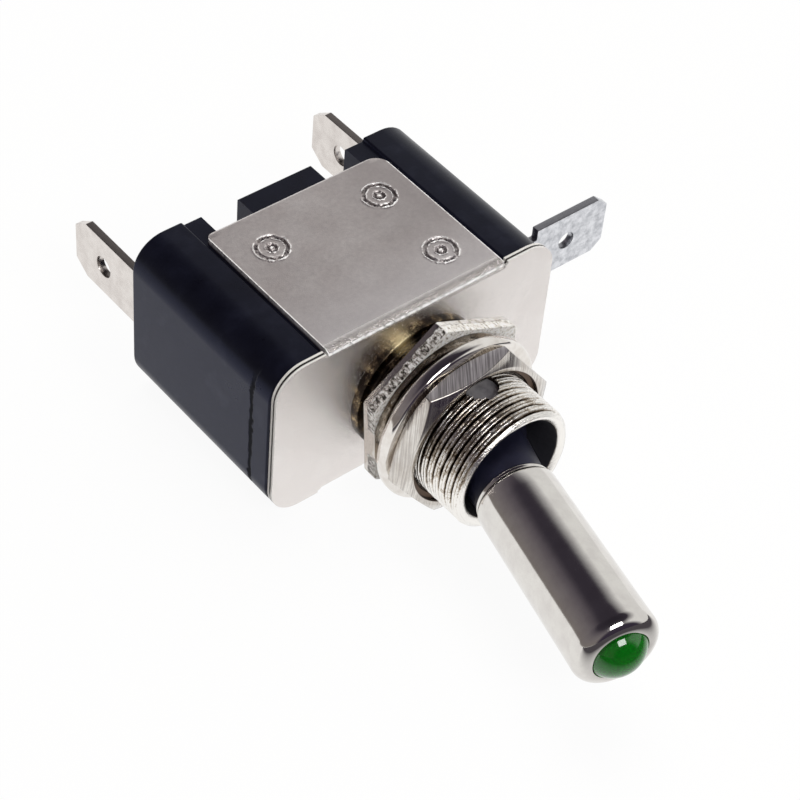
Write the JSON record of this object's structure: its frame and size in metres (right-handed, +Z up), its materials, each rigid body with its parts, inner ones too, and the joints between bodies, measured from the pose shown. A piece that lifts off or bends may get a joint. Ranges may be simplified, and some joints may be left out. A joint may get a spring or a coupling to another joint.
{
  "type": "illuminated toggle switch",
  "caption": "Panel toggle switch with a lamp in the tip of its chromed lever, threaded bushing with nuts and washer, strapped moulded housing and flat push-on terminals.",
  "frame": {"origin": "on the bushing's axis at the panel seat, the front face of the back nut", "axes": "+X across the switch towards the side blade, +Y into the housing, +Z up as the switch lies; the lever points along -Y"},
  "size_m": [0.0429, 0.0657, 0.0177],
  "materials": {
    "plated_sheet": "nickel-plated sheet, satin on top, bright in front",
    "plated_bushing": "bright nickel plate",
    "pressed_nut": "nickel plate over a coarse blank",
    "polished_washer": "polished nickel plate",
    "turned_nut": "bright nickel plate over drawn flats",
    "housing_plastic": "satin moulded",
    "blade_plate": "nickel-plated brass",
    "blade_tin": "mottled tin plate",
    "core_plastic": "satin moulded",
    "sleeve_chrome": "bright chrome",
    "lamp_green": "clear-gloss tinted resin",
    "pin_steel": "turned end",
    "lead_tin": "tinned wire",
    "plunger_brass": "turned",
    "spring_steel": "drawn wire",
    "contact_brass": "stamped strip",
    "tip_silver": "silver rivet head",
    "resistor_coat": "lacquered",
    "wire_red": "smooth insulation",
    "wire_black": "smooth insulation"
  },
  "bodies": {
    "base": {"mounting_bracket": "plated_sheet", "threaded_bushing": "plated_bushing", "back_nut": "pressed_nut", "panel_washer": "polished_washer", "front_nut": "turned_nut", "housing_rear": "housing_plastic", "housing_front": "housing_plastic", "terminal_load": "blade_plate", "terminal_power": "blade_plate", "terminal_earth": "blade_tin", "pivot_pin": "pin_steel", "fixed_contact_tip": "tip_silver", "fulcrum_bracket": "contact_brass", "series_resistor": "resistor_coat", "resistor_leads": "lead_tin", "anode_wire": "wire_red", "cathode_wire": "wire_black"},
    "lever": {"toggle_core": "core_plastic", "toggle_sleeve": "sleeve_chrome", "led_lamp": "lamp_green", "led_anode_lead": "lead_tin", "led_cathode_lead": "lead_tin", "plunger_spring": "spring_steel"},
    "plunger": {"plunger": "plunger_brass"},
    "rocker": {"rocker_contact": "contact_brass", "moving_contact_tip": "tip_silver"}
  },
  "joints": [
    {"name": "lever_swing", "type": "hinge", "parent": "base", "child": "lever", "pos_m": [0, -0.0043, 0], "axis": [0, 0, 1], "range_deg": [0, 27], "deforming": ["anode_wire", "cathode_wire"]},
    {"name": "rocker_tilt", "type": "hinge", "parent": "base", "child": "rocker", "pos_m": [0, 0.01733, 0], "axis": [0, 0, 1], "range_deg": [-16, 0]},
    {"name": "plunger_slide", "type": "slide", "parent": "lever", "child": "plunger", "axis": [0.2334, 0.9724, 0], "range_m": [-0.001, 0], "stiffness_N_per_m": 400, "springref_m": 0.0005, "deforming": ["plunger_spring"]}
  ],
  "couplings": [
    {"joint": "rocker_tilt", "follows": "lever_swing", "ratio": -0.59259}
  ]
}
